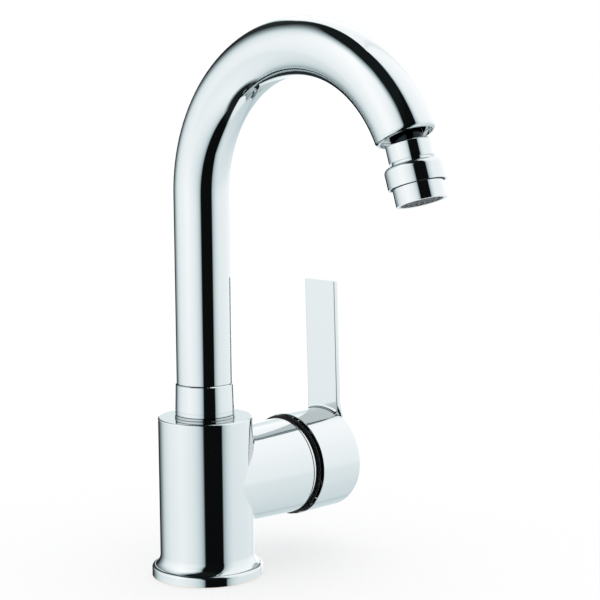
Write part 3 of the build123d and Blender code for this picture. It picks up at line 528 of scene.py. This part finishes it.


# Aerator insert: jet former with rings of small holes, moulded in dark grey plastic and pushed into the
# sleeve. Its colour is drawn darker still, as painted shade of the recess that it sits in. It is always
# damp.

# Damp dark grey plastic, darkened by painted recess shade: nearly black, glossy in wet patches and dull
# between them.
jet_plastic_and_recess_shade, tree, shader, place = new_material(
    "damp_grey_jet_former_with_painted_recess_shade", "15181A", metallic=0.0, roughness=0.25)
shader.inputs["Specular IOR Level"].default_value = 0.15
dull_patches(tree, shader, place, size=0.0009, least=0.12, most=0.4)
raised_grain(tree, shader, place, size=0.0003, depth=0.000004, detail=3.0)
finish("aerator_insert", jet_plastic_and_recess_shade)


# Aerator screen: two crossed layers of fine stainless wire in a rolled rim, held in the sleeve's lip
# under the jet former. The wires stand wider apart than real ones, which would be too fine to show.

# Stainless wire: mid grey, with a soft shine along each wire.
steel_wire = turned_metal(
    "stainless_screen_wire", "8E9396", "X", pitch=0.0002, depth=0.000002, roughness=0.22)
screen_radius = 0.00962
screen_level = 0.02878
wire_radius = 0.00012
wire_pitch = 0.0034
wires_each_side = 2
layer_gap = 1.7 * wire_radius
quarter_turn = math.pi / 2
bpy.ops.object.select_all(action="DESELECT")
wires = []
for layer in range(2):
    for number in range(-wires_each_side, wires_each_side + 1):
        aside = number * wire_pitch
        length = 2 * math.sqrt(screen_radius ** 2 - aside ** 2)
        level = screen_level + (layer - 0.5) * layer_gap
        spot = (aside, 0.0, level) if layer else (0.0, aside, level)
        lie = (quarter_turn, 0.0, 0.0) if layer else (0.0, quarter_turn, 0.0)
        bpy.ops.mesh.primitive_cylinder_add(
            vertices=6, radius=wire_radius, depth=length, location=spot, rotation=lie)
        wires.append(bpy.context.object)
for wire in wires:
    wire.select_set(True)
bpy.ops.object.join()
screen = bpy.context.object
screen.name = "aerator_screen"
bpy.ops.object.transform_apply(location=True, rotation=True, scale=True)
bpy.ops.object.shade_smooth_by_angle(angle=math.radians(70))
screen.data.materials.append(steel_wire)
lay_along(screen, outlet_way, spout_end)
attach(screen, "outlet_head")

# The rolled rim, of the same wire's steel, with its lower corners rounded off.
rim_outline = [(0.00985, 0.02855), (0.00985, 0.02900), (0.00975, 0.02905), (0.00945, 0.02905),
               (0.00935, 0.02900), (0.00935, 0.02855), (0.00985, 0.02855)]
screen_rim = lathe("aerator_screen_rim", rim_outline, segments=96, material=steel_wire)
lay_along(screen_rim, outlet_way, spout_end)
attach(screen_rim, "outlet_head")


# Aerator washer: flat washer punched from rubber sheet, which seals the insert against the swivel
# ring.
finish("aerator_washer", rubber)


# Cartridge base and housing: moulded in white acetal. The base carries the water ways, and the
# housing snaps over it and closes the cartridge.
finish("cartridge_base", acetal)
finish("cartridge_housing", acetal)


# Cartridge seals: moulded rubber rings, greased and pressed between the base and the chamber's
# floor.
finish("cartridge_seals", greased)


# Ceramic discs: pressed and fired alumina, lapped flat on the faces that slide on each other. The
# fixed disc sits in the base and the moving disc under its carrier.

# Lapped alumina: off-white with fine darker specks and a clear shine.
speck_size = 0.0002
alumina, tree, shader, place = new_material("lapped_alumina", "F1EEE6", metallic=0.0, roughness=0.1)
shader.inputs["IOR"].default_value = 1.76
grains = add_node(tree, "TexNoise", {"Vector": place, "Scale": 1 / speck_size, "Detail": 4.0})
specks = add_node(tree, "MapRange", [grains, 0.55, 0.7])
mottled(tree, shader, specks, "F1EEE6", "DDD9CE")
finish("fixed_disc", alumina)
finish("moving_disc", alumina)


# Disc carrier: plate moulded in glass-filled plastic, which the stem's end drags by its slot and
# which drags the moving disc.

# Glass-filled plastic: mid grey and dull, streaked lighter by the glass fibres.
filled, tree, shader, place = new_material(
    "glass_filled_grey_plastic", "A2A5A6", metallic=0.0, roughness=0.45)
fibres = raised_grain(tree, shader, place, size=0.0004, depth=0.00003, detail=5.0)
mottled(tree, shader, fibres, "94989A", "B2B5B5")
finish("disc_carrier", filled)


# Cartridge rotor: hub moulded in acetal, which turns in the housing and holds the pin that the stem
# tilts on.
finish("cartridge_rotor", acetal)


# Cartridge stem and its pin: turned from stainless steel bar. The stem rocks on the pin, and the
# lever is clamped on its outer end.

# Turned stainless steel again, with its rings across the stem.
steel_x = turned_metal(
    "turned_stainless_steel_x", "BFC3C6", "X", pitch=0.00015, depth=0.000002, roughness=0.18)
finish("cartridge_stem", steel_x)
finish("stem_pin", steel_y)


# Cartridge nut: ring turned from brass bar, with key notches and an outer thread. It clamps the
# cartridge in the housing.

# Turned brass again, with coarser rings across the nut's axis.
brass_x = turned_metal("turned_bare_brass_x", "CFA75A", "X", pitch=0.0002, depth=0.000004, roughness=0.26)
finish("cartridge_nut", brass_x)


# Rim ring: thin brass ring, turned, polished and chromed, and pushed into the mouth of the
# housing.
finish("rim_ring", chrome)


# Rim gasket: thin black rubber ring in the joint between the housing's mouth and the rim ring, which
# keeps splashes out of the cartridge. Only its edge shows, as a dark line.
lever_axis_height = 0.0461
gasket_outline = band(from_radius=0.02451, to_radius=0.02479, start=0.05161, end=0.05225)
rim_gasket = lathe("rim_gasket", gasket_outline, segments=160, material=rubber)
lay_along(rim_gasket, Vector((1.0, 0.0, 0.0)), Vector((0.0, 0.0, lever_axis_height)))
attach(rim_gasket, "body")


# Dome ring: ring pushed on the rim ring, which fills the gap to the lever's cap while the lever tilts.
# It is drawn deep black.

# Deep black and half dull, with a very fine grain and a weak shine.
deep_black_finish, tree, shader, place = new_material(
    "grained_deep_black", "0A0B0D", metallic=0.0, roughness=0.3)
shader.inputs["Specular IOR Level"].default_value = 0.2
dull_patches(tree, shader, place, size=0.003, least=0.24, most=0.38)
raised_grain(tree, shader, place, size=0.00015, depth=0.000002, detail=3.0)
finish("dome_ring", deep_black_finish)


# Lever handle: one zinc die casting, round cap and upright plate, ground, polished and chromed. It
# sits on the stem and is clamped there by the grub screw.
finish("lever_handle", bright_chrome("bright_chrome_on_die_cast_zinc")[0])


# Grub screw and its plug: steel set screw that clamps the handle on the stem, behind a plug moulded
# in light grey plastic and pushed in flush.

# Moulded light plastic: pale grey, half glossy, with the mould's grain.
plug, tree, shader, place = new_material(
    "moulded_light_grey_plastic", "B9BEC1", metallic=0.0, roughness=0.3)
dull_patches(tree, shader, place, size=0.002, least=0.24, most=0.38)
raised_grain(tree, shader, place, size=0.0002, depth=0.00001, detail=3.0)
finish("grub_screw", steel_y)
finish("screw_plug", plug)
